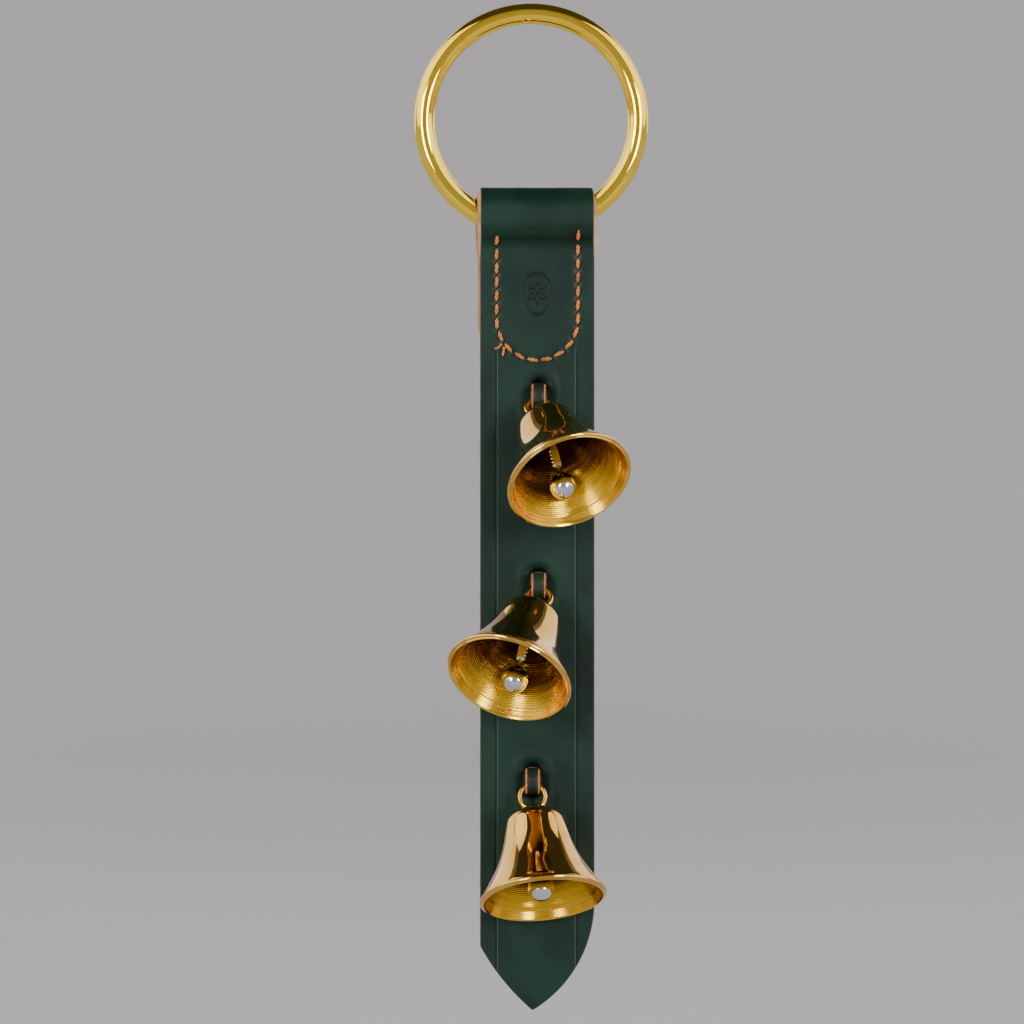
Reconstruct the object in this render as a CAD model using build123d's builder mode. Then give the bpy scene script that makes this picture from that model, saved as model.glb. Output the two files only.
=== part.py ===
"""Sleigh bells: three open-mouthed brass bells laced to a leather strap that hangs from a brass ring.

Units are millimetres. The origin is the centre of the ring, +Z is up, the front of the strap
faces -Y and +X is to the right. The strap hangs straight down from the ring.
"""

from build123d import *
import math
import os

os.makedirs("parts", exist_ok=True)

# ---------------------------------------------------------------- ring and strap
RING_RADIUS = 35.6          # middle of the wire
RING_WIRE_RADIUS = 3.45

STRAP_X = 2.0               # the strap hangs a little right of the ring's lowest point
STRAP_WIDTH = 38.0
LEATHER = 3.2               # strap thickness
PLY_GAP = 0.3               # between the front ply and the tail sewn behind it
FOLD_CENTRE_Z = -30.4       # centre of the round fold over the ring
FOLD_INNER_RADIUS = 4.8
S_BEND_TOP_Z = -33.5        # the two plies start to come together here
S_BEND_HEIGHT = 10.0
TAIL_ROUND_Z = -66.5        # centre of the tail's round end, and of the sewn line's arc
TIP_Z = -296.2
TIP_X = 0.4
TIP_START_LEFT_Z = -274.8   # the left cheek of the tip starts at a corner
TIP_START_RIGHT_Z = -260.0  # the right cheek curves out of the edge
TIP_BULGE = 0.9             # how far the left cheek's middle stands out, both across and down
CUT_DEPTH = 20.0            # more than half the depth of the strap, for cuts right through it
RING_TILT = 20.0            # degrees that the strap swings each way on the ring
RING_PIVOT_Z = -32.5
RING_PLAY = 0.35            # room round the wire in the fold

FRONT_Y = -(PLY_GAP / 2 + LEATHER)
BACK_Y = -PLY_GAP / 2       # back face of the front ply

# ---------------------------------------------------------------- sewing
STITCH_RADIUS = 13.5        # half the distance between the two sewn lines
STITCH_COUNT = 22           # down the left, round the end and up the right
STITCH_LENGTH = 3.6
STITCH_WIDTH = 1.2
STITCH_HEIGHT = 0.8         # how far the thread stands out of the leather
SEWN_TOP_LEFT_Z = -38.0
SEWN_TOP_RIGHT_Z = -36.5

# ---------------------------------------------------------------- lace and its slots
SLOT_WIDTH = 5.6
LACE_WIDTH = 4.6
LACE = 1.4                  # lace thickness
LACE_BEND = 2.6             # radius of the lace's middle where it holds a crown loop
LACE_TOP_BEND = 3.2
SLOT_BEND = 1.2
LACE_SLOT_PLAY = 1.3        # between the lace and the round ends of its slot
LACE_SPLIT = 0.15           # gap in front of the strap between a fixed and a moving stretch
LACE_UNDER = 0.2            # between the lace and the back of the strap
PIVOT_DROP = 6.6            # from the top of a slot to the wire that hangs in the lace
PIVOT_Y = -8.0
SLOT_HEIGHT = PIVOT_DROP + LACE_BEND + LACE / 2 + LACE_SLOT_PLAY
KNOT_WIDTH = 9.0
KNOT_HEIGHT = 7.6
KNOT_DEPTH = 4.6
KNOT_CORNER = 2.4
UPPER_KNOT_RISE = 0.4       # the first knot stands this far above the top of its slot
LOWER_KNOT_RISE = 1.5       # the last knot reaches this far above the middle of its strand

# ---------------------------------------------------------------- bells
# slot x, slot top z, tilt of the mouth towards the front, turn of the mouth to the right,
# angle of the clapper back from the bell's axis, side of the link that carries the crimp beads
BELLS = (
    (2.4, -86.5, 44.6, 16.0, 28.0, -1),
    (2.4, -149.2, 42.3, -16.0, 28.0, 1),
    (0.4, -214.2, 26.1, 5.4, 26.1, -1),
)
CROWN_LOOP_RADIUS = 4.2     # middle of the wire
CROWN_WIRE_RADIUS = 0.8
CROWN_LOOP_RISE = 5.05      # from the crown to the middle of its loop
BELL_HEIGHT = 31.3
BELL_RADIUS = 20.8
WALL = 1.4
SHANK_PLAY = 0.05
EYE_RADIUS = 2.3            # inner eye that holds the clapper
EYE_WIRE_RADIUS = 0.55
EYE_DROP = 4.45             # from the crown down to the middle of the inner eye
CLAPPER_LENGTH = 19.2       # from the inner eye's lowest wire to the middle of the ball
BALL_RADIUS = 4.45
LINK_RING_RADIUS = 1.45
LINK_WIRE_RADIUS = 0.45
LINK_WIDTH = 2.8
LINK_THICKNESS = 1.0
LINK_END = 12.5             # from the pivot to the end of the flat link
NECK_RADIUS = 0.65
BEAD_RADIUS = 0.5
BEAD_PITCH = 1.25
BEADS = 5
FIRST_BEAD_RISE = 0.8       # from the link's end up to the middle of the lowest bead
LINK_CORNER = 0.5


def save(part, name):
    """Label a finished part and write it as one STEP file."""
    part.label = name
    export_step(part, f"parts/{name}.step")


# ---------------------------------------------------------------- the strap's side view
# The fold's side is two arcs of the same size, one turning out and one turning back.
fold_side_y = FOLD_INNER_RADIUS + LEATHER / 2
bend_shift = fold_side_y - (PLY_GAP + LEATHER) / 2
bend_angle = 2 * math.atan(bend_shift / S_BEND_HEIGHT)
bend_radius = S_BEND_HEIGHT / (2 * math.sin(bend_angle))
s_bend_end_z = S_BEND_TOP_Z - S_BEND_HEIGHT


def front_surface(z):
    """Y of the strap's front face at a height, and its lean from the vertical in degrees."""
    tight = bend_radius - LEATHER / 2
    wide = bend_radius + LEATHER / 2
    middle_z = s_bend_end_z + tight * math.sin(bend_angle)
    if z <= s_bend_end_z:
        return FRONT_Y, 0.0
    if z <= middle_z:
        lean = math.asin((z - s_bend_end_z) / tight)
        return FRONT_Y - tight * (1 - math.cos(lean)), math.degrees(lean)
    lean = math.asin(min(1.0, max(0.0, (S_BEND_TOP_Z - z) / wide)))
    return -(FOLD_INNER_RADIUS + LEATHER) + wide * (1 - math.cos(lean)), math.degrees(lean)


def strap_side_line(half_gap, first_radius, second_radius, fold_radius, end_z):
    """One face of the strap in side view, up the front, over the fold and down to end_z."""
    turn = math.degrees(bend_angle)
    start = Line((-half_gap, TIP_Z - 1), (-half_gap, s_bend_end_z))
    out = JernArc(start @ 1, start % 1, first_radius, turn)
    back = JernArc(out @ 1, out % 1, second_radius, -turn)
    rise = Line(back @ 1, (-fold_radius, FOLD_CENTRE_Z))
    over = JernArc(rise @ 1, rise % 1, fold_radius, -180)
    fall = Line(over @ 1, (fold_radius, S_BEND_TOP_Z))
    inward = JernArc(fall @ 1, fall % 1, second_radius, -turn)
    down = JernArc(inward @ 1, inward % 1, first_radius, turn)
    Line(down @ 1, (half_gap, end_z))


tail_end_z = TAIL_ROUND_Z - STRAP_WIDTH / 2

with BuildPart() as strap:
    with BuildSketch(Plane.YZ.offset(STRAP_X - STRAP_WIDTH / 2)):
        with BuildLine():
            strap_side_line(
                PLY_GAP / 2 + LEATHER,
                bend_radius - LEATHER / 2,
                bend_radius + LEATHER / 2,
                FOLD_INNER_RADIUS + LEATHER,
                tail_end_z,
            )
            strap_side_line(
                PLY_GAP / 2,
                bend_radius + LEATHER / 2,
                bend_radius - LEATHER / 2,
                FOLD_INNER_RADIUS,
                tail_end_z,
            )
            Line((-(PLY_GAP / 2 + LEATHER), TIP_Z - 1), (-PLY_GAP / 2, TIP_Z - 1))
            Line((PLY_GAP / 2, tail_end_z), (PLY_GAP / 2 + LEATHER, tail_end_z))
        make_face()
    extrude(amount=STRAP_WIDTH)

    # the pointed tip, cut by hand: a corner and a shallow curve on the left, a long curve on the right
    left_x = STRAP_X - STRAP_WIDTH / 2
    right_x = STRAP_X + STRAP_WIDTH / 2
    with BuildSketch(Plane.XZ.offset(-CUT_DEPTH)):
        with BuildLine():
            edge_left = Line((left_x, 0), (left_x, TIP_START_LEFT_Z))
            ThreePointArc(
                edge_left @ 1,
                ((left_x + TIP_X) / 2 - TIP_BULGE, (TIP_START_LEFT_Z + TIP_Z) / 2 - TIP_BULGE),
                (TIP_X, TIP_Z),
            )
            edge_right = Line((right_x, 0), (right_x, TIP_START_RIGHT_Z))
            TangentArc(edge_right @ 1, (TIP_X, TIP_Z), tangent=(0, -1))
            Line(edge_left @ 0, edge_right @ 0)
        make_face()
    extrude(amount=2 * CUT_DEPTH, mode=Mode.INTERSECT)

    # the tail's round end, behind the front ply
    with BuildSketch(Plane.XZ):
        with Locations((STRAP_X, TAIL_ROUND_Z)):
            Rectangle(STRAP_WIDTH + 1, STRAP_WIDTH, align=(Align.CENTER, Align.MAX))
            Circle(STRAP_WIDTH / 2, mode=Mode.SUBTRACT)
    extrude(amount=-CUT_DEPTH, mode=Mode.SUBTRACT)

    # one slot for the lace behind each bell
    with BuildSketch(Plane.XZ):
        for slot_x, slot_top, *_ in BELLS:
            with Locations((slot_x, slot_top - SLOT_HEIGHT / 2)):
                SlotOverall(SLOT_HEIGHT, SLOT_WIDTH, rotation=90)
    extrude(amount=CUT_DEPTH, mode=Mode.SUBTRACT)

    # the groove that the ring's wire presses into the fold as the strap swings on it
    for tilt in (-RING_TILT, 0, RING_TILT):
        ring_frame = Plane(Location((0, 0, RING_PIVOT_Z), (tilt, 0, 0)))
        ring_centre = ring_frame.origin - ring_frame.z_dir * RING_PIVOT_Z
        ring_section = Plane(origin=ring_centre, x_dir=ring_frame.y_dir, z_dir=(1, 0, 0))
        with BuildSketch(ring_section):
            with Locations((0, -RING_RADIUS)):
                Circle(RING_WIRE_RADIUS + RING_PLAY)
        revolve(axis=Axis(ring_centre, ring_frame.y_dir), mode=Mode.SUBTRACT)
save(strap.part, "strap")

# ---------------------------------------------------------------- ring
with BuildPart() as door_ring:
    with Locations(Plane(origin=(0, 0, 0), z_dir=(0, -1, 0))):
        Torus(RING_RADIUS, RING_WIRE_RADIUS)
save(door_ring.part, "door_ring")


# ---------------------------------------------------------------- sewing
def sewn_place(distance):
    """X, Z and heading (degrees from +X) at a distance along the sewn line from its left top."""
    left_run = SEWN_TOP_LEFT_Z - TAIL_ROUND_Z
    round_run = math.pi * STITCH_RADIUS
    if distance < left_run:
        return STRAP_X - STITCH_RADIUS, SEWN_TOP_LEFT_Z - distance, -90.0
    if distance < left_run + round_run:
        turn = (distance - left_run) / STITCH_RADIUS
        x = STRAP_X - STITCH_RADIUS * math.cos(turn)
        z = TAIL_ROUND_Z - STITCH_RADIUS * math.sin(turn)
        return x, z, math.degrees(turn) - 90.0
    return STRAP_X + STITCH_RADIUS, TAIL_ROUND_Z + distance - left_run - round_run, 90.0


def stitch_planes(side):
    """Planes that lie on the leather at each stitch; side is -1 in front and 1 behind."""
    sewn_length = SEWN_TOP_LEFT_Z + SEWN_TOP_RIGHT_Z - 2 * TAIL_ROUND_Z + math.pi * STITCH_RADIUS
    pitch = sewn_length / STITCH_COUNT
    planes = []
    for number in range(STITCH_COUNT):
        x, z, heading = sewn_place((number + 0.5) * pitch)
        y, lean = front_surface(z)
        along = math.radians(heading)
        slope = math.radians(lean)
        rise = math.sin(along)
        direction = (math.cos(along), side * rise * math.sin(slope), rise * math.cos(slope))
        outward = (0, side * math.cos(slope), -math.sin(slope))
        planes.append(Plane(origin=(x, -side * y, z), x_dir=direction, z_dir=outward))
    return planes


with BuildPart() as stitches_front:
    with BuildSketch(*stitch_planes(-1)):
        SlotOverall(STITCH_LENGTH, STITCH_WIDTH)
    extrude(amount=STITCH_HEIGHT)
save(stitches_front.part, "stitches_front")

with BuildPart() as stitches_back:
    with BuildSketch(*stitch_planes(1)):
        SlotOverall(STITCH_LENGTH, STITCH_WIDTH)
    extrude(amount=STITCH_HEIGHT)
save(stitches_back.part, "stitches_back")

# ---------------------------------------------------------------- lace
# The lace is one strip. It starts in a knot behind the first slot, comes out through each slot as
# a loop that holds a bell, runs down the strap's back and ends in a knot behind the last slot.
upper_drop = LACE_SLOT_PLAY + LACE / 2
lower_drop = PIVOT_DROP + LACE_BEND
run_y = BACK_Y + LACE_UNDER + LACE / 2


def lace_side(points, radii, section_plane):
    """A lace's side view along a line with rounded corners, in the middle of its width."""
    with BuildSketch(section_plane) as side_view:
        with BuildLine():
            FilletPolyline(*points, radius=radii)
        trace(line_width=LACE)
    return side_view.sketch


def knotted_end(x, strand_z, knot_z):
    """One end of the lace: a strand through its slot and a stopper knot against the strap's back."""
    with BuildPart() as lace_end:
        with BuildSketch(Plane.YZ.offset(x - LACE_WIDTH / 2)):
            with Locations((FRONT_Y, strand_z)):
                Rectangle(LEATHER + LACE_UNDER + 1, LACE, align=(Align.MIN, Align.CENTER))
        extrude(amount=LACE_WIDTH)
        with BuildSketch(Plane.XZ.offset(-(BACK_Y + LACE_UNDER))):
            with Locations((x, knot_z)):
                RectangleRounded(KNOT_WIDTH, KNOT_HEIGHT, KNOT_CORNER)
        extrude(amount=-KNOT_DEPTH)
    return lace_end.part


for number in (1, 2):
    x_above, top_above = BELLS[number - 1][:2]
    x_below, top_below = BELLS[number][:2]
    run_top = Vector(x_above, 0, top_above - lower_drop)
    run_bottom = Vector(x_below, 0, top_below - upper_drop)
    run_up = (run_top - run_bottom).normalized()
    across = Vector(0, 1, 0).cross(run_up)
    run_length = (run_top - run_bottom).length
    with BuildPart() as lace_run:
        run_side = lace_side(
            [(FRONT_Y, 0), (run_y, 0), (run_y, -run_length), (FRONT_Y, -run_length)],
            [SLOT_BEND, SLOT_BEND],
            Plane(origin=run_top, x_dir=(0, 1, 0), z_dir=across),
        )
        extrude(run_side, amount=LACE_WIDTH / 2, both=True)
    save(lace_run.part, f"lace_run_{number}")

first_x, first_top = BELLS[0][:2]
upper_end = knotted_end(first_x, first_top - upper_drop, first_top - KNOT_HEIGHT / 2 + UPPER_KNOT_RISE)
save(upper_end, "lace_upper_end")

last_x, last_top = BELLS[-1][:2]
last_strand_z = last_top - lower_drop
lower_end = knotted_end(last_x, last_strand_z, last_strand_z - KNOT_HEIGHT / 2 + LOWER_KNOT_RISE)
save(lower_end, "lace_lower_end")


# ---------------------------------------------------------------- bells
# A bell's own frame has its origin in the middle of the crown loop and +Z up its axis.
def bell_frame(slot_x, slot_top, tilt, turn):
    """The crown loop's wire passes through the lace's bend, however far the bell has turned in it."""
    hang_point = Vector(slot_x, PIVOT_Y, slot_top - PIVOT_DROP)
    tilted = Plane(Location(hang_point, (-tilt, 0, 0)))
    loop_centre = hang_point - tilted.z_dir * CROWN_LOOP_RADIUS
    return Plane(Location(loop_centre, (-tilt, -turn, 0)))


def wall_section(section_plane):
    """Half of the bell's section: x is the radius and y runs down from 0 at the crown."""
    crown_hole = CROWN_WIRE_RADIUS + SHANK_PLAY
    with BuildSketch(section_plane) as section:
        with BuildLine():
            crown = Line((crown_hole, 0), (4.4, 0))
            shoulder = TangentArc(crown @ 1, (9.9, -4.4), tangent=(1, 0))
            waist = Line(shoulder @ 1, (11.2, -10.0))
            flare = TangentArc(waist @ 1, (16.4, -23.0), tangent=waist % 1)
            skirt = Line(flare @ 1, (20.0, -29.1))
            bead = ThreePointArc(skirt @ 1, (20.65, -29.9), (BELL_RADIUS, -30.8))
            lip = ThreePointArc(bead @ 1, (20.55, -31.15), (20.1, -BELL_HEIGHT))
            rim = Line(lip @ 1, (19.6, -BELL_HEIGHT))
            band = Line(rim @ 1, (18.1, -28.1))
            step = Line(band @ 1, (17.6, -27.8))
            inner_skirt = Line(step @ 1, (15.2, -23.7))
            inner_flare = TangentArc(inner_skirt @ 1, (9.84, -10.3), tangent=inner_skirt % 1)
            inner_waist = Line(inner_flare @ 1, (8.54, -4.7))
            inner_shoulder = TangentArc(inner_waist @ 1, (4.4, -WALL), tangent=inner_waist % 1)
            ceiling = Line(inner_shoulder @ 1, (crown_hole, -WALL))
            Line(ceiling @ 1, crown @ 0)
        make_face()
    return section.sketch


for number, (slot_x, slot_top, tilt, turn, clapper_back, bead_side) in enumerate(BELLS, start=1):
    with BuildPart() as lace_loop:
        loop_front_y = PIVOT_Y - LACE_BEND
        loop_root_y = FRONT_Y - LACE_SPLIT
        loop_side = lace_side(
            [
                (loop_root_y, slot_top - upper_drop),
                (loop_front_y, slot_top - upper_drop),
                (loop_front_y, slot_top - lower_drop),
                (loop_root_y, slot_top - lower_drop),
            ],
            [LACE_TOP_BEND, LACE_BEND],
            Plane.YZ.offset(slot_x),
        )
        extrude(loop_side, amount=LACE_WIDTH / 2, both=True)
    save(lace_loop.part, f"lace_loop_{number}")

    frame = bell_frame(slot_x, slot_top, tilt, turn)
    right = frame.x_dir
    back = frame.y_dir
    up = frame.z_dir
    crown_top = frame.origin - up * CROWN_LOOP_RISE
    eye_centre = crown_top - up * EYE_DROP
    clapper_pivot = eye_centre - up * EYE_RADIUS
    swing = math.radians(clapper_back)
    clapper_up = up * math.cos(swing) - back * math.sin(swing)

    with BuildPart() as bell:
        section = wall_section(Plane(origin=crown_top, x_dir=right, z_dir=-back))
        revolve(section, axis=Axis(crown_top, up))
    save(bell.part, f"bell_{number}")

    with BuildPart() as crown_loop:
        with Locations(Plane(origin=frame.origin, x_dir=right, z_dir=back)):
            Torus(CROWN_LOOP_RADIUS, CROWN_WIRE_RADIUS)
        with Locations(Plane(origin=eye_centre, x_dir=right, z_dir=back)):
            Torus(EYE_RADIUS, EYE_WIRE_RADIUS)
        shank_top = CROWN_LOOP_RISE - CROWN_LOOP_RADIUS
        with BuildSketch(Plane(origin=crown_top + up * shank_top, x_dir=right, z_dir=up)):
            Circle(CROWN_WIRE_RADIUS)
        extrude(amount=-(shank_top + EYE_DROP - EYE_RADIUS))
    save(crown_loop.part, f"crown_loop_{number}")

    with BuildPart() as clapper_link:
        with Locations(Plane(origin=clapper_pivot, x_dir=clapper_up, z_dir=right)):
            Torus(LINK_RING_RADIUS, LINK_WIRE_RADIUS)
        link_front = Plane(origin=clapper_pivot, x_dir=right, z_dir=right.cross(clapper_up))
        with BuildSketch(link_front):
            with Locations((0, -(LINK_RING_RADIUS + LINK_END) / 2)):
                RectangleRounded(LINK_WIDTH, LINK_END - LINK_RING_RADIUS, LINK_CORNER)
        extrude(amount=LINK_THICKNESS / 2, both=True)
        for bead in range(BEADS):
            bead_height = FIRST_BEAD_RISE - LINK_END + bead * BEAD_PITCH
            with Locations(link_front.from_local_coords((bead_side * LINK_WIDTH / 2, bead_height, 0))):
                Sphere(BEAD_RADIUS)
        with BuildSketch(Plane(origin=clapper_pivot - clapper_up * (LINK_END - 1),
                               x_dir=right, z_dir=-clapper_up)):
            Circle(NECK_RADIUS)
        extrude(amount=CLAPPER_LENGTH - BALL_RADIUS + 1.5 - (LINK_END - 1))
    save(clapper_link.part, f"clapper_link_{number}")

    with BuildPart() as clapper_ball:
        ball_centre = clapper_pivot - clapper_up * CLAPPER_LENGTH
        with Locations(Plane(origin=ball_centre, x_dir=right, z_dir=clapper_up)):
            Sphere(BALL_RADIUS)
        with BuildSketch(Plane(origin=ball_centre + clapper_up * (BALL_RADIUS + 1),
                               x_dir=right, z_dir=-clapper_up)):
            Circle(NECK_RADIUS + 0.05)
        extrude(amount=3, mode=Mode.SUBTRACT)
    save(clapper_ball.part, f"clapper_ball_{number}")
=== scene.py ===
"""Sleigh bells: three open-mouthed brass bells laced to a leather door strap on a brass ring.

Lengths are in millimetres until a mesh is made, where they become metres. The frame is the CAD
model's: the origin is the ring's centre, the front faces -Y and +Z is up.
"""
import math
import random

import bpy
import numpy as np
from mathutils import Matrix, Vector, noise


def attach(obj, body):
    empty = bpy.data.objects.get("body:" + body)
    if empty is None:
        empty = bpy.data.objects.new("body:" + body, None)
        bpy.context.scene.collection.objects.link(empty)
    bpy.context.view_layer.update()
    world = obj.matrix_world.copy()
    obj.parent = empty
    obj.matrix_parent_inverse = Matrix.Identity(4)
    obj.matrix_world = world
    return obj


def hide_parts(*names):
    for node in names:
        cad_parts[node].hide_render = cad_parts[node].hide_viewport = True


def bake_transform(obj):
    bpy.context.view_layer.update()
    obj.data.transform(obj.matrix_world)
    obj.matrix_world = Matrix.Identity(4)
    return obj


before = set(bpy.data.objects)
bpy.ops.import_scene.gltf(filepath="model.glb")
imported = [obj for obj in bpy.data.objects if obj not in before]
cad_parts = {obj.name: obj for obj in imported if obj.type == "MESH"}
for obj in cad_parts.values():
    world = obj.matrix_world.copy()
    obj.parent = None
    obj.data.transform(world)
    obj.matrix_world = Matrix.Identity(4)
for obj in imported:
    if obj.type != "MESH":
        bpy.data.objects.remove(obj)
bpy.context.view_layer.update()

MM = 0.001
TAU = 2 * math.pi
chance = random.Random(7)

# ---- sizes, as in the CAD model
RING_RADIUS, RING_WIRE = 35.6, 3.45
STRAP_X, STRAP_WIDTH, LEATHER, PLY_GAP = 2.0, 38.0, 3.2, 0.3
LEFT_X, RIGHT_X = STRAP_X - STRAP_WIDTH / 2, STRAP_X + STRAP_WIDTH / 2
FOLD_CENTRE_Z, FOLD_INNER = -30.4, 4.8
S_BEND_TOP_Z, S_BEND_HEIGHT = -33.5, 10.0
TAIL_ROUND_Z = -66.5
TIP_X, TIP_Z = 0.4, -296.2
TIP_LEFT_Z, TIP_RIGHT_Z = -274.8, -260.0
RING_PIVOT_Z, RING_PLAY = -32.5, 0.35
RING_TURNS = (-20, -15, -10, -5, 0, 5)      # degrees of the strap's swing that need room
LEFT_BORDER, RIGHT_BORDER = 5.3, 5.9
BORDER_TOP_Z, BORDER_START_Z = -74.0, -79.0     # the ruled lines fade in between these
STAMP_Z, STAMP_HALF_WIDTH, STAMP_HALF_HEIGHT = -58.0, 5.0, 7.4
FRONT_Y = -(PLY_GAP / 2 + LEATHER)
MIDDLE_Y = PLY_GAP / 2 + LEATHER / 2

STITCH_RADIUS, STITCH_COUNT, STITCH_LENGTH = 13.5, 22, 3.6
SEWN_LEFT_Z, SEWN_RIGHT_Z = -38.0, -36.5

SLOT_WIDTH, SLOT_HEIGHT = 5.6, 11.2
LACE_WIDTH, LACE = 4.6, 1.4
UPPER_DROP, LOWER_DROP = 2.0, 9.2
PIVOT_Y, PIVOT_DROP = -8.0, 6.6
LACE_BEND, LACE_TOP_BEND = 2.6, 3.2
RUN_Y = 0.75

# slot x, slot top, tilt and turn of the bell, clapper's angle behind the axis, beaded side
BELLS = (
    (2.4, -86.5, 44.6, 16.0, 28.0, -1),
    (2.4, -149.2, 42.3, -16.0, 28.0, 1),
    (0.4, -214.2, 26.1, 5.4, 26.1, -1),
)
CROWN_LOOP, CROWN_WIRE, CROWN_RISE = 4.2, 0.8, 5.05
EYE_RADIUS, EYE_WIRE, EYE_DROP = 2.3, 0.55, 4.45
CLAPPER_LENGTH, BALL_RADIUS = 19.2, 4.45
LINK_RING, LINK_WIRE, LINK_END = 1.45, 0.45, 12.5
LINK_WIDTH, LINK_THICKNESS, NECK_RADIUS = 2.8, 1.0, 0.65
BEADS, BEAD_PITCH, FIRST_BEAD_RISE = 5, 1.25, 0.8

bend_shift = FOLD_INNER + LEATHER / 2 - MIDDLE_Y
bend_angle = 2 * math.atan(bend_shift / S_BEND_HEIGHT)
bend_radius = S_BEND_HEIGHT / (2 * math.sin(bend_angle))
s_bend_end_z = S_BEND_TOP_Z - S_BEND_HEIGHT


# ---- material tools
class Nodes:
    """A short way to write a material's nodes."""

    def __init__(self, name):
        self.material = bpy.data.materials.new(name)
        self.material.use_nodes = True
        self.tree = self.material.node_tree
        self.shader = self.tree.nodes["Principled BSDF"]
        self.place = self.node("TexCoord").outputs["Object"]

    def node(self, kind, **settings):
        new = self.tree.nodes.new("ShaderNode" + kind)
        for key, value in settings.items():
            setattr(new, key, value)
        return new

    def join(self, value, socket):
        """A link from a socket, a setting from a number, and a colour from a tuple."""
        if isinstance(value, bpy.types.NodeSocket):
            self.tree.links.new(value, socket)
        else:
            socket.default_value = colour(*value) if isinstance(value, tuple) else value

    def math(self, operation, *values):
        new = self.node("Math", operation=operation)
        for value, socket in zip(values, new.inputs):
            self.join(value, socket)
        return new.outputs[0]

    def noise(self, scale, detail=4.0, roughness=0.55, place=None):
        """Cloudy noise; scale is in features per metre."""
        new = self.node("TexNoise")
        self.join(place or self.place, new.inputs["Vector"])
        new.inputs["Scale"].default_value = scale
        new.inputs["Detail"].default_value = detail
        new.inputs["Roughness"].default_value = roughness
        return new.outputs["Fac"]

    def cells(self, scale):
        new = self.node("TexVoronoi")
        self.join(self.place, new.inputs["Vector"])
        new.inputs["Scale"].default_value = scale
        return new.outputs["Distance"]

    def stretch(self, scale):
        """The object's coordinates, scaled differently along each axis."""
        new = self.node("Mapping")
        self.join(self.place, new.inputs["Vector"])
        new.inputs["Scale"].default_value = scale
        return new.outputs["Vector"]

    def axes(self, place):
        new = self.node("SeparateXYZ")
        self.join(place, new.inputs[0])
        return new.outputs["X"], new.outputs["Y"], new.outputs["Z"]

    def attribute(self, name):
        return self.node("Attribute", attribute_name=name).outputs["Fac"]

    def ramp(self, value, low, high, out_low=0.0, out_high=1.0):
        """The value from low to high, mapped smoothly onto out_low to out_high."""
        new = self.node("MapRange", interpolation_type="SMOOTHSTEP")
        for socket, setting in zip(new.inputs, (value, low, high, out_low, out_high)):
            self.join(setting, socket)
        return new.outputs["Result"]

    def mix(self, amount, first, second):
        new = self.node("Mix", data_type="RGBA")
        self.join(amount, new.inputs["Factor"])
        self.join(first, new.inputs[6])
        self.join(second, new.inputs[7])
        return new.outputs[2]

    def bump(self, height, depth_mm, below=None):
        """Height from 0 to 1 as relief this deep, over another bump if there is one."""
        new = self.node("Bump")
        new.inputs["Distance"].default_value = depth_mm * MM
        self.join(height, new.inputs["Height"])
        if below is not None:
            self.join(below, new.inputs["Normal"])
        return new.outputs["Normal"]

    def finish(self, **sockets):
        """Set the shader's sockets by name, with _ for each space."""
        for key, value in sockets.items():
            self.join(value, self.shader.inputs[key.replace("_", " ")])
        return self.material


def colour(red, green, blue, shade=1.0):
    """A colour given in sRGB, 0 to 255, as linear values for a shader, darkened by the shade."""
    def linear(value):
        value /= 255
        return value / 12.92 if value <= 0.04045 else ((value + 0.055) / 1.055) ** 2.4
    return tuple(shade * linear(value) for value in (red, green, blue)) + (1.0,)


# ---- materials
def polished_brass(name, light, deep, roughness):
    """Mirror brass with faint haze, fingerprints and hairline scratches."""
    n = Nodes(name)
    haze = n.noise(90, 5.0)
    hairs = n.noise(1.0, 3.0, 0.6, n.stretch((700, 700, 5200)))
    tint = n.mix(n.ramp(haze, 0.35, 0.7), light, deep)
    rough = n.math("ADD", n.ramp(haze, 0.4, 0.75, roughness, roughness + 0.05),
                   n.ramp(hairs, 0.62, 0.75, 0.0, 0.05))
    relief = n.bump(n.noise(60, 2.0), 0.05)
    relief = n.bump(n.ramp(hairs, 0.6, 0.8), 0.002, relief)
    return n.finish(Base_Color=tint, Metallic=1.0, Roughness=rough, Normal=relief)


def turned_brass(name, light, deep, roughness, line_pitch, line_depth):
    """Brass with the fine rings that a lathe leaves, by the distance run along the profile, with
    painted shade deep in the bell's hollow.
    """
    n = Nodes(name)
    run = n.attribute("run")
    wander = n.noise(160, 3.0)
    rings = n.math("SINE", n.math("ADD", n.math("MULTIPLY", run, TAU / line_pitch),
                                  n.math("MULTIPLY", wander, 3.0)))
    coarse = n.math("SINE", n.math("MULTIPLY", run, TAU / (line_pitch * 4.3)))
    ring_height = n.math("ADD", n.math("MULTIPLY", rings, 0.35), n.math("MULTIPLY", coarse, 0.3))
    patina = n.ramp(n.noise(120, 6.0), 0.35, 0.7)
    depth = n.attribute("depth")
    # Painted shade: darker towards the crown inside the bell, where little light reaches, over faint
    # patina clouds.
    shade = n.math("MAXIMUM", n.math("MULTIPLY", patina, 0.1), n.ramp(depth, 8.0, 28.0, 0.9, 0.0))
    tint = n.mix(shade, light, deep)
    tint = n.mix(n.ramp(rings, 0.2, 1.0, 0.0, 0.42), tint, deep)
    rough = n.ramp(patina, 0.0, 1.0, roughness, roughness + 0.05)
    relief = n.bump(n.math("ADD", ring_height, 0.5), line_depth)
    return n.finish(Base_Color=tint, Metallic=1.0, Roughness=rough, Normal=relief)


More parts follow.
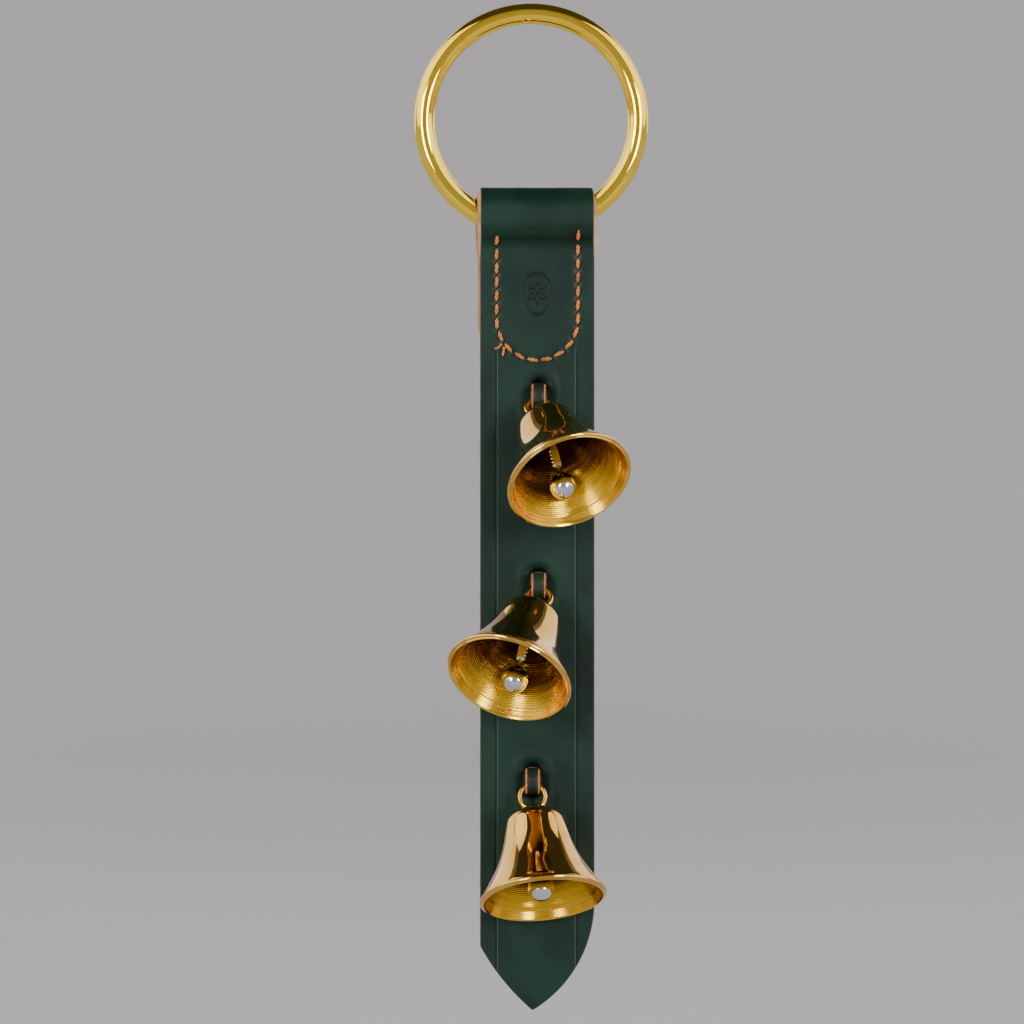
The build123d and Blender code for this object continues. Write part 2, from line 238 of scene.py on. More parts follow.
def polished_steel(name, tint, roughness, brushed):
    n = Nodes(name)
    haze = n.noise(220, 4.0)
    lines = n.noise(1.0, 3.0, 0.6, n.stretch((3800, 3800, 600)))
    rough = n.math("ADD", n.ramp(haze, 0.4, 0.75, roughness, roughness + 0.05),
                   n.ramp(lines, 0.5, 0.8, 0.0, brushed))
    base = n.mix(n.ramp(haze, 0.3, 0.8), tint, tint + (0.8,))
    relief = n.bump(lines, 0.004 + 0.02 * brushed)
    return n.finish(Base_Color=base, Metallic=1.0, Roughness=rough, Normal=relief)


def in_front(n, y):
    """1 on the strap's front face and 0 behind it."""
    return n.ramp(y, -3.0 * MM, -2.0 * MM, 1.0, 0.0)


def ornament(n):
    """A plain blind stamp inside the sewing: a six-petalled flower in an oval line, 0 to 1."""
    centre = n.node("VectorMath", operation="SUBTRACT")
    n.join(n.place, centre.inputs[0])
    centre.inputs[1].default_value = (STRAP_X * MM, 0.0, STAMP_Z * MM)
    x, y, z = n.axes(centre.outputs[0])
    across = n.math("DIVIDE", x, STAMP_HALF_WIDTH * MM)
    up = n.math("DIVIDE", z, STAMP_HALF_HEIGHT * MM)
    oval = n.math("SQRT", n.math("ADD", n.math("POWER", across, 2.0), n.math("POWER", up, 2.0)))
    line = n.ramp(n.math("ABSOLUTE", n.math("SUBTRACT", oval, 0.92)), 0.03, 0.1, 1.0, 0.0)
    tall = n.math("MULTIPLY", up, STAMP_HALF_HEIGHT / STAMP_HALF_WIDTH)
    radius = n.math("SQRT", n.math("ADD", n.math("POWER", across, 2.0), n.math("POWER", tall, 2.0)))
    angle = n.math("ARCTAN2", across, tall)
    petals = n.math("ABSOLUTE", n.math("COSINE", n.math("MULTIPLY", angle, 3.0)))
    reach = n.math("ADD", 0.22, n.math("MULTIPLY", petals, 0.42))
    edge = n.math("ABSOLUTE", n.math("SUBTRACT", radius, reach))
    flower = n.ramp(edge, 0.03, 0.11, 1.0, 0.0)
    heart = n.ramp(radius, 0.1, 0.15, 1.0, 0.0)
    stamp = n.math("MAXIMUM", n.math("MAXIMUM", line, flower), heart)
    return n.math("MULTIPLY", stamp, in_front(n, y))


def border_line(n, x, shift, half_width):
    """A line ruled down each side of the strap, 0 to 1; shift moves it towards the middle."""
    left = n.math("SUBTRACT", x, (LEFT_X + LEFT_BORDER + shift) * MM)
    right = n.math("SUBTRACT", x, (RIGHT_X - RIGHT_BORDER - shift) * MM)
    nearest = n.math("MINIMUM", n.math("ABSOLUTE", left), n.math("ABSOLUTE", right))
    return n.ramp(nearest, 0.2 * half_width * MM, half_width * MM, 1.0, 0.0)


def green_leather(name, light, deep, decorated):
    """Smooth dyed leather: fine grain, pull-up clouds and rubbed edges, with painted shade in the
    stitch holes, slots and pressed marks, and on the decorated strap a painted highlight beside the
    ruled lines.
    """
    n = Nodes(name)
    clouds = n.ramp(n.noise(45, 5.0), 0.3, 0.7)
    pores = n.cells(1500)
    grain = n.math("ADD", n.math("MULTIPLY", n.noise(2600, 6.0, 0.65), 0.6),
                   n.math("MULTIPLY", pores, 0.5))
    tint = n.mix(clouds, deep, light)
    tint = n.mix(n.ramp(n.noise(900, 4.0), 0.55, 0.8, 0.0, 0.35), tint, deep)
    # This attribute holds painted shade set on the mesh: in the stitch holes, round the slots and on
    # the slot walls.
    painted_shade = n.attribute("painted_shade")
    if decorated:
        x, y, z = n.axes(n.place)
        below = n.ramp(z, BORDER_START_Z * MM, BORDER_TOP_Z * MM, 1.0, 0.0)
        shown = n.math("MULTIPLY", below, in_front(n, y))
        crease = n.math("MULTIPLY", border_line(n, x, 0.0, 0.34), shown)
        ridge_and_highlight = n.math("MULTIPLY", border_line(n, x, 0.42, 0.24), shown)
        stamp = ornament(n)
        # Painted shade: the ruled crease lines and the stamp are darkened as if shade lay in their
        # grooves.
        crease_and_stamp_shade = n.math("MAXIMUM", crease, stamp)
        painted_shade = n.math("MINIMUM", 1.0, n.math("ADD", painted_shade, crease_and_stamp_shade))
        # Painted highlight: the ridge just inside each ruled line is lightened.
        tint = n.mix(n.math("MULTIPLY", ridge_and_highlight, 0.3), tint, (96, 116, 104))
    # Painted shade mixed in, nearly black, from the attribute and the ruled marks.
    tint = n.mix(n.math("MULTIPLY", painted_shade, 0.75), tint, (6, 12, 11))
    rub = n.attribute("rub")
    tint = n.mix(n.math("MULTIPLY", rub, 0.35), tint, (96, 84, 52))
    rough = n.math("ADD", n.ramp(clouds, 0.0, 1.0, 0.38, 0.48), n.math("MULTIPLY", grain, 0.08))
    relief = n.bump(grain, 0.045)
    relief = n.bump(n.noise(260, 3.0), 0.05, relief)
    if decorated:
        relief = n.bump(n.math("SUBTRACT", 1.0, crease), 0.2, relief)
        relief = n.bump(ridge_and_highlight, 0.08, relief)
        relief = n.bump(n.math("SUBTRACT", 1.0, stamp), 0.22, relief)
    return n.finish(Base_Color=tint, Roughness=rough, Normal=relief,
                    Specular_IOR_Level=0.22, Coat_Weight=0.03, Coat_Roughness=0.25)


def raw_leather(name, light, deep, fuzz):
    """The undyed core and flesh side: pale tan, fibrous, dull."""
    n = Nodes(name)
    fibres = n.noise(1.0, 6.0, 0.7, n.stretch((1400, 1400, 4200)))
    blotch = n.noise(170, 5.0)
    tint = n.mix(n.ramp(blotch, 0.3, 0.7), light, deep)
    tint = n.mix(n.ramp(fibres, 0.5, 0.75, 0.0, 0.45), tint, (92, 62, 36))
    tint = n.mix(n.ramp(n.cells(900), 0.0, 0.35, 0.35, 0.0), tint, (110, 78, 46))
    relief = n.bump(fibres, fuzz)
    relief = n.bump(n.noise(520, 4.0), 0.12, relief)
    return n.finish(Base_Color=tint, Roughness=n.ramp(fibres, 0.2, 0.8, 0.72, 0.9), Normal=relief,
                    Sheen_Weight=0.25, Sheen_Roughness=0.5)


def waxed_thread(name):
    n = Nodes(name)
    strands = n.noise(1.0, 3.0, 0.6, n.stretch((2600, 2600, 2600)))
    dirt = n.noise(140, 3.0)
    tint = n.mix(n.ramp(dirt, 0.35, 0.7), (200, 120, 46), (150, 80, 24))
    tint = n.mix(n.ramp(strands, 0.5, 0.7, 0.0, 0.5), tint, (96, 58, 28))
    relief = n.bump(strands, 0.04)
    return n.finish(Base_Color=tint, Roughness=n.ramp(strands, 0.2, 0.8, 0.42, 0.6), Normal=relief,
                    Sheen_Weight=0.15, Sheen_Roughness=0.4)


def plain_stage(name, tint):
    n = Nodes(name)
    return n.finish(Base_Color=n.mix(n.noise(3, 2.0), tint, tint + (0.95,)), Roughness=0.9)


ring_brass = polished_brass("ring_brass_polished", (255, 220, 70), (254, 206, 52), 0.04)
bell_brass = polished_brass("bell_brass_polished", (222, 176, 88), (202, 152, 64), 0.045)
rim_brass = turned_brass("bell_brass_rim", (226, 182, 84), (196, 146, 50), 0.12, 0.5, 0.02)
inner_brass = turned_brass("bell_brass_turned", (218, 172, 42), (104, 70, 10), 0.2, 0.62, 0.065)
band_brass = turned_brass("bell_brass_band", (222, 178, 50), (176, 128, 26), 0.16, 0.45, 0.04)
loop_brass = polished_brass("loop_brass_wire", (242, 196, 84), (206, 154, 52), 0.14)
strap_green = green_leather("strap_leather_green", (5, 42, 30), (2, 28, 20), True)
lace_green = green_leather("lace_leather_green", (14, 36, 28), (7, 22, 17), False)
raw_edge = raw_leather("strap_leather_edge", (196, 150, 98), (152, 106, 60), 0.16)
raw_flesh = raw_leather("strap_leather_flesh", (176, 136, 92), (160, 120, 78), 0.12)
lace_raw = raw_leather("lace_leather_raw", (214, 138, 72), (172, 100, 46), 0.2)
thread = waxed_thread("thread_waxed")
steel = polished_steel("clapper_steel_link", (226, 224, 220), 0.12, 0.08)
chrome = polished_steel("ball_chrome", (216, 216, 220), 0.02, 0.0)


# ---- mesh tools
def add_piece(name, points, faces, materials, face_material=None, values=None, sharp=None):
    """A smooth-shaded mesh from points in millimetres, with one material index per face."""
    mesh = bpy.data.meshes.new(name)
    mesh.from_pydata([tuple(MM * float(part) for part in point) for point in points], [], faces)
    for material in materials:
        mesh.materials.append(material)
    if face_material is not None:
        mesh.polygons.foreach_set("material_index", face_material)
    for key, numbers in (values or {}).items():
        mesh.attributes.new(key, "FLOAT", "POINT").data.foreach_set("value", numbers)
    mesh.update()
    mesh.shade_smooth()
    if sharp is not None:
        mesh.set_sharp_from_angle(angle=math.radians(sharp))
    piece = bpy.data.objects.new(name, mesh)
    bpy.context.collection.objects.link(piece)
    return piece


def assign(piece, body, node):
    """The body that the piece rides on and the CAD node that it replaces."""
    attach(piece, body)
    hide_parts(node)


class Shape:
    """Points, faces and material indices gathered from several sweeps into one mesh."""

    def __init__(self):
        self.points, self.faces, self.kinds = [], [], []

    def add(self, points, faces, kinds):
        first = len(self.points)
        self.points += points
        self.faces += [tuple(first + corner for corner in face) for face in faces]
        self.kinds += kinds if isinstance(kinds, list) else [kinds] * len(faces)

    def piece(self, name, *materials, **options):
        return add_piece(name, self.points, self.faces, materials, self.kinds, **options)


def sweep(path, sides, section, closed=False, scale=None):
    """A closed section carried along a path; sides gives the two section axes at each point."""
    points, faces = [], []
    size = len(section)
    for step, (centre, (first, second)) in enumerate(zip(path, sides)):
        grow = scale[step] if scale else 1.0
        points += [centre + first * (a * grow) + second * (b * grow) for a, b in section]
    spans = len(path) if closed else len(path) - 1
    for step in range(spans):
        here, there = step * size, (step + 1) % len(path) * size
        for corner in range(size):
            after = (corner + 1) % size
            faces.append((here + corner, here + after, there + after, there + corner))
    if not closed:
        faces.append(tuple(range(size - 1, -1, -1)))
        faces.append(tuple(range(len(points) - size, len(points))))
    return points, faces


def tangents(path, closed=False):
    around = [path[-1], *path, path[0]] if closed else [path[0], *path, path[-1]]
    return [(after - before).normalized() for before, after in zip(around, around[2:])]


def turning_sides(path, closed=False):
    """Section axes that turn as little as possible along the path."""
    headings = tangents(path, closed)
    side = headings[0].orthogonal().normalized()
    out = []
    for heading in headings:
        side = (side - heading * side.dot(heading)).normalized()
        out.append((side, heading.cross(side)))
    return out


def flat_sides(path, across):
    """Section axes of a strip: its width lies along across, its thickness square to the path."""
    return [(across, heading.cross(across).normalized()) for heading in tangents(path)]


def circle(radius, count):
    turns = [TAU * k / count for k in range(count)]
    return [(radius * math.cos(turn), radius * math.sin(turn)) for turn in turns]


def tube(path, radius, count=10, scale=None):
    return sweep(path, turning_sides(path), circle(radius, count), scale=scale)


def torus(centre, first, second, radius, wire, steps, count):
    """A ring of wire in the plane of two axes."""
    axis = first.cross(second)
    sides = [(first * a + second * b, axis) for a, b in circle(1.0, steps)]
    path = [centre + outward * radius for outward, _ in sides]
    return sweep(path, sides, circle(wire, count), closed=True)


def lathe(profile, centre, right, back, up, steps):
    """A closed profile of (radius, height) turned round the up axis."""
    sides = [(right * a + back * b, up) for a, b in circle(1.0, steps)]
    points, faces = sweep([centre] * steps, sides, profile, closed=True)
    return points, [(a, d, c, b) for a, b, c, d in faces]


def smooth_step(value, low, high):
    part = min(1.0, max(0.0, (value - low) / (high - low)))
    return part * part * (3 - 2 * part)


def circle_through(a, b, c):
    """Centre and radius of the circle through three points in a plane."""
    (ax, ay), (bx, by), (cx, cy) = a, b, c
    area = 2 * (ax * (by - cy) + bx * (cy - ay) + cx * (ay - by))
    a2, b2, c2 = ax**2 + ay**2, bx**2 + by**2, cx**2 + cy**2
    x = (a2 * (by - cy) + b2 * (cy - ay) + c2 * (ay - by)) / area
    y = (a2 * (cx - bx) + b2 * (ax - cx) + c2 * (bx - ax)) / area
    return x, y, math.hypot(ax - x, ay - y)


def curve_to(profile, end, heading, count):
    """Go on from the profile's last point to an end on the arc that starts along heading."""
    start = Vector(profile[-1])
    chord = Vector(end) - start
    heading = Vector(heading).normalized()
    normal = Vector((-heading.y, heading.x))
    radius = chord.length_squared / (2 * chord.dot(normal))
    sweep_angle = 2 * math.atan2(chord.dot(normal), chord.dot(heading))
    for step in range(1, count + 1):
        turn = sweep_angle * step / count
        point = start + heading * (radius * math.sin(turn)) + normal * (radius * (1 - math.cos(turn)))
        profile.append((point.x, point.y))


def heading_of(profile):
    return Vector(profile[-1]) - Vector(profile[-2])


def run_to(profile, end, count=1):
    """Go on in a straight line."""
    start = Vector(profile[-1])
    for step in range(1, count + 1):
        point = start.lerp(Vector(end), step / count)
        profile.append((point.x, point.y))


# ---- ring
across_x, along_y, up_z = Vector((1, 0, 0)), Vector((0, 1, 0)), Vector((0, 0, 1))
ring_shape = Shape()
ring_shape.add(*torus(Vector((0, 0, 0)), across_x, up_z, RING_RADIUS, RING_WIRE, 320, 40), 0)
assign(ring_shape.piece("door_ring_polished", ring_brass), "ring", "door_ring")


# ---- sewn line
def front_surface(z):
    """Y of the strap's front face at a height, and its lean from the vertical in radians."""
    tight, wide = bend_radius - LEATHER / 2, bend_radius + LEATHER / 2
    if z <= s_bend_end_z:
        return FRONT_Y, 0.0
    if z <= s_bend_end_z + tight * math.sin(bend_angle):
        lean = math.asin((z - s_bend_end_z) / tight)
        return FRONT_Y - tight * (1 - math.cos(lean)), lean
    lean = math.asin(min(1.0, max(0.0, (S_BEND_TOP_Z - z) / wide)))
    return -(FOLD_INNER + LEATHER) + wide * (1 - math.cos(lean)), lean


def sewn_place(distance):
    """X, Z and heading (from +X) at a distance along the sewn line from its left top."""
    left_run = SEWN_LEFT_Z - TAIL_ROUND_Z
    round_run = math.pi * STITCH_RADIUS
    if distance < left_run:
        return STRAP_X - STITCH_RADIUS, SEWN_LEFT_Z - distance, -math.pi / 2
    if distance < left_run + round_run:
        turn = (distance - left_run) / STITCH_RADIUS
        return (STRAP_X - STITCH_RADIUS * math.cos(turn), TAIL_ROUND_Z - STITCH_RADIUS * math.sin(turn),
                turn - math.pi / 2)
    return STRAP_X + STITCH_RADIUS, TAIL_ROUND_Z + distance - left_run - round_run, math.pi / 2


def stitch_axes(side):
    """Centre, direction and outward normal of every stitch; side is -1 in front, 1 behind."""
    sewn_length = SEWN_LEFT_Z + SEWN_RIGHT_Z - 2 * TAIL_ROUND_Z + math.pi * STITCH_RADIUS
    pitch = sewn_length / STITCH_COUNT
    axes = []
    for number in range(STITCH_COUNT):
        x, z, heading = sewn_place((number + 0.5) * pitch)
        y, slope = front_surface(z)
        rise = math.sin(heading)
        direction = Vector((math.cos(heading), side * rise * math.sin(slope), rise * math.cos(slope)))
        outward = Vector((0, side * math.cos(slope), -math.sin(slope)))
        axes.append((Vector((x, -side * y, z)), direction.normalized(), outward))
    return axes


def twisted(shape, path, radius, turns, taper=0.0):
    """Two plies of thread twisted round each other along a path, thinner at both ends."""
    sides = turning_sides(path)
    last = len(path) - 1
    scale = [1 - taper * abs(2 * step / last - 1) ** 2.5 for step in range(last + 1)]
    for ply in (0, math.pi):
        strand = []
        for step, (centre, (first, second)) in enumerate(zip(path, sides)):
            turn = ply + TAU * turns * step / last
            reach = 0.5 * radius * scale[step]
            strand.append(centre + first * (reach * math.cos(turn)) + second * (reach * math.sin(turn)))
        shape.add(*tube(strand, 0.62 * radius, 8, scale), 0)


def thread_piece(name, side, node):
    """Every stitch as a short arch of twisted thread, pulled down into its two holes."""
    shape = Shape()
    for centre, direction, outward in stitch_axes(side):
        sideways = direction.cross(outward)
        skew = 0.22 + chance.uniform(-0.08, 0.08)
        path = []
        for step in range(17):
            part = -1 + step / 8
            height = 0.42 - 1.05 * abs(part) ** 5 + chance.uniform(-0.015, 0.015)
            path.append(centre + direction * (part * STITCH_LENGTH / 2 * 0.97) + outward * height
                        + sideways * (skew * part))
        twisted(shape, path, 0.64, 1.3 + chance.uniform(-0.2, 0.2), 0.55)
    if side < 0:
        for start, bend in (((-9.9, -74.6), (-2.2, -1.6)), ((-9.0, -75.6), (-0.6, -2.8))):
            path = []
            for step in range(12):
                part = step / 11
                x = start[0] + bend[0] * part
                z = start[1] + bend[1] * part - 0.5 * math.sin(math.pi * part)
                path.append(Vector((x, FRONT_Y - 0.35 - 0.45 * math.sin(2.4 * part), z)))
            twisted(shape, path, 0.42, 1.3)
    assign(shape.piece(name, thread), "strap", node)


thread_piece("stitching_front", -1, "stitches_front")
thread_piece("stitching_back", 1, "stitches_back")


# ---- strap
def strap_line(step):
    """The middle of the leather in side view, from the tip up, over the fold and down the tail."""
    points = [Vector((-MIDDLE_Y, TIP_Z + 0.15))]
    heading = math.pi / 2
    bend, fold = bend_radius, FOLD_INNER + LEATHER / 2
    tail_end = TAIL_ROUND_Z - STRAP_WIDTH / 2 + 0.1
    stretches = (
        ("run", s_bend_end_z - TIP_Z - 0.15), ("arc", bend, bend_angle), ("arc", bend, -bend_angle),
        ("run", FOLD_CENTRE_Z - S_BEND_TOP_Z), ("arc", fold, -math.pi),
        ("run", FOLD_CENTRE_Z - S_BEND_TOP_Z), ("arc", bend, -bend_angle), ("arc", bend, bend_angle),
        ("run", s_bend_end_z - tail_end),
    )
    headings = [heading]
    for kind, *sizes in stretches:
        length = sizes[0] if kind == "run" else sizes[0] * abs(sizes[1])
        count = max(2, round(length / step))
        turn = 0.0 if kind == "run" else sizes[1] / count
        for _ in range(count):
            heading += turn / 2
            chord = length / count if kind == "run" else 2 * sizes[0] * math.sin(abs(turn) / 2)
            points.append(points[-1] + chord * Vector((math.cos(heading), math.sin(heading))))
            heading += turn / 2
            headings.append(heading)
    return points, headings


left_cheek = circle_through(
    (LEFT_X, TIP_LEFT_Z), ((LEFT_X + TIP_X) / 2 - 0.9, (TIP_LEFT_Z + TIP_Z) / 2 - 0.9), (TIP_X, TIP_Z))
right_cheek_radius = ((RIGHT_X - TIP_X) ** 2 + (TIP_RIGHT_Z - TIP_Z) ** 2) / (2 * (RIGHT_X - TIP_X))


def strap_edges(z, on_tail):
    """The strap's left and right edge at a height."""
    left, right = LEFT_X, RIGHT_X
    if on_tail:
        if z < TAIL_ROUND_Z:
            half = math.sqrt(max(0.04, (STRAP_WIDTH / 2) ** 2 - (TAIL_ROUND_Z - z) ** 2))
            left, right = STRAP_X - half, STRAP_X + half
        return left, right
    if z < TIP_LEFT_Z:
        x, y, radius = left_cheek
        left = x - math.sqrt(max(0.0, radius**2 - (z - y) ** 2))
    if z < TIP_RIGHT_Z:
        drop = z - TIP_RIGHT_Z
        right = RIGHT_X - right_cheek_radius + math.sqrt(max(0.0, right_cheek_radius**2 - drop**2))
    return left, max(right, left + 0.2)


def slot_distance(x, z):
    """Distance to the nearest slot's edge, below 0 inside it, and the way out of the slot."""
    best = None
    for slot_x, slot_top, *_ in BELLS:
        middle_z = slot_top - SLOT_HEIGHT / 2
        straight = (SLOT_HEIGHT - SLOT_WIDTH) / 2
        dx = x - slot_x
        dz = z - middle_z
        dz -= min(straight, max(-straight, dz))
        reach = math.hypot(dx, dz)
        distance = reach - SLOT_WIDTH / 2
        if best is None or distance < best[0]:
            best = (distance, dx / max(reach, 1e-6), dz / max(reach, 1e-6), z - middle_z)
    return best


def ring_room(points):
    """Push inner leather points clear of the ring's wire wherever the strap swings to."""
    pivot = np.array([0.0, 0.0, RING_PIVOT_Z])
    for degrees in RING_TURNS:
        turn = math.radians(degrees)
        cosine, sine = math.cos(turn), math.sin(turn)
        spin = np.array([[1, 0, 0], [0, cosine, -sine], [0, sine, cosine]])
        local = (points - pivot) @ spin.T + pivot
        flat = np.hypot(local[:, 0], local[:, 2])
        part = 1 - RING_RADIUS / flat
        off = np.stack([local[:, 0] * part, local[:, 1], local[:, 2] * part], axis=1)
        away = np.linalg.norm(off, axis=1)
        short = np.maximum(0.0, RING_WIRE + RING_PLAY - away)
        local += off / np.maximum(away, 1e-6)[:, None] * short[:, None]
        points = (local - pivot) @ spin + pivot
    return points


TAIL_SHIFT = -0.75          # the tail was sewn down slightly to the left
ROW_STEP, COLUMNS = 0.6, 76
EDGE_STEPS = (0.0, 0.008, 0.02)     # shares of the width where the grid is closer, at each edge


def strap_mesh():
    """The folded strap as a front and a back skin on one grid, joined by its cut edges."""
    points, headings = strap_line(ROW_STEP)
    rows = len(points)
    fold_row = max(range(rows), key=lambda row: points[row].y)
    across = list(EDGE_STEPS) + [0.033 + (1 - 0.066) * k / (COLUMNS - 1) for k in range(COLUMNS)]
    across += [1 - part for part in reversed(EDGE_STEPS)]
    wide = len(across)
    centre, normal = np.zeros((2, rows, wide, 3))
    inset, slot_offset = np.zeros((2, rows, wide))
    hole = np.full((rows, wide), 99.0)
    slot_push = np.zeros((rows, wide, 2))
    outline = []
    for row in range(rows):
        left, right = strap_edges(points[row].y, row > fold_row)
        if row < fold_row and points[row].y < TIP_RIGHT_Z + 2:
            outline += [(left, points[row].y), (right, points[row].y)]
        shift = TAIL_SHIFT * smooth_step(row, fold_row - 12, fold_row + 12)
        for column in range(wide):
            x = left + (right - left) * across[column] + shift
            centre[row, column] = (x, points[row].x, points[row].y)
            normal[row, column] = (0, -math.sin(headings[row]), math.cos(headings[row]))
            inset[row, column] = min(x - shift - left, right - x + shift)
            if row < fold_row and points[row].y < -80:
                distance, out_x, out_z, height = slot_distance(x, points[row].y)
                hole[row, column] = distance
                slot_push[row, column] = (out_x, out_z)
                slot_offset[row, column] = height
    outline = np.array(outline)
    for row in range(rows):
        z = points[row].y
        if row < fold_row and z < TIP_RIGHT_Z + 12:
            gaps = centre[row, :, None, :][:, :, [0, 2]] - outline[None]
            inset[row] = np.minimum(inset[row], np.sqrt((gaps**2).sum(axis=2)).min(axis=1))
    return centre, normal, inset, hole, slot_push, slot_offset, fold_row


def bell_curve(distance, width):
    return np.exp(-((distance / width) ** 2))


def segment_distance(points, start, end):
    span = end - start
    part = np.clip(((points - start) @ span) / (span @ span), 0, 1)
    return np.linalg.norm(points - (start + part[..., None] * span), axis=-1)


def strap_relief(centre, normal, inset, hole, slot_offset):
    """How far the grain side is pressed in or stands out, the painted shade at each spot, darker in and
    round the stitch holes and the slots, and how rubbed each edge is.
    """
    surface = centre + normal * (LEATHER / 2)
    relief = np.zeros(inset.shape)
    painted_shade = np.zeros(inset.shape)
    for rounding, distance in ((0.5, inset), (0.35, np.maximum(hole, 0))):
        near = np.clip(rounding - distance, 0, rounding)
        relief -= rounding - np.sqrt(rounding**2 - near**2)
    sewn = surface[..., 2] > TAIL_ROUND_Z - STITCH_RADIUS - 4
    spots = surface[sewn]
    dip = np.zeros(len(spots))
    dark = np.zeros(len(spots))
    for side in (-1, 1):
        for place, direction, _ in stitch_axes(side):
            middle, along = np.array(place), np.array(direction)
            half = STITCH_LENGTH / 2 * along
            line = segment_distance(spots, middle - half, middle + half)
            ends = np.minimum(np.linalg.norm(spots - (middle - half * 1.08), axis=1),
                              np.linalg.norm(spots - (middle + half * 1.08), axis=1))
            dip += 0.1 * bell_curve(line, 1.3) + 0.16 * bell_curve(ends, 0.85)
            # Painted shade in the stitch holes and along the thread.
            dark = np.maximum(dark, 0.95 * bell_curve(ends, 0.7) + 0.45 * bell_curve(line, 1.0))
    relief[sewn] -= np.minimum(dip, 0.5)
    painted_shade[sewn] = dark
    pucker = 0.45 * bell_curve(hole, 1.1) - 0.22 * bell_curve(hole - 2.9, 1.3)
    pull = 0.5 + 0.5 * np.clip(np.abs(slot_offset) / 5.0, 0, 1)
    relief -= pucker * pull
    # Painted shade round each slot's edge, stronger towards the slot's ends.
    painted_shade = np.maximum(painted_shade, bell_curve(hole, 1.0) * pull)
    x, z, facing = surface[..., 0], surface[..., 2], surface[..., 1] < -2.5
    border = np.minimum(np.abs(x - LEFT_X - LEFT_BORDER), np.abs(x - RIGHT_X + RIGHT_BORDER))
    fading_in = np.clip((BORDER_TOP_Z - z) / (BORDER_TOP_Z - BORDER_START_Z), 0, 1)
    relief -= 0.1 * bell_curve(border, 0.55) * facing * fading_in
    oval = np.hypot((x - STRAP_X) / STAMP_HALF_WIDTH, (z - STAMP_Z) / STAMP_HALF_HEIGHT)
    relief -= 0.13 * facing * np.clip((1.04 - oval) / 0.14, 0, 1)
    rub = 0.55 * bell_curve(inset, 0.35)
    for row, column in np.ndindex(inset.shape):
        spot = Vector(surface[row, column])
        relief[row, column] += 0.14 * noise.noise(spot * 0.07) + 0.05 * noise.noise(spot * 0.35)
        rub[row, column] *= 0.6 + 0.8 * max(0.0, noise.noise(spot * 0.5))
    return relief, np.minimum(painted_shade, 1.0), np.clip(rub, 0, 1)


SLOT_CLOSES = 0.005         # the share of a slot's width that is still open at the back
FOLD_NARROWS = 0.25         # stretched round the fold, the grain side narrows
FOLD_SPREADS = 0.85         # and the squeezed flesh side spreads, which shows the raw edge


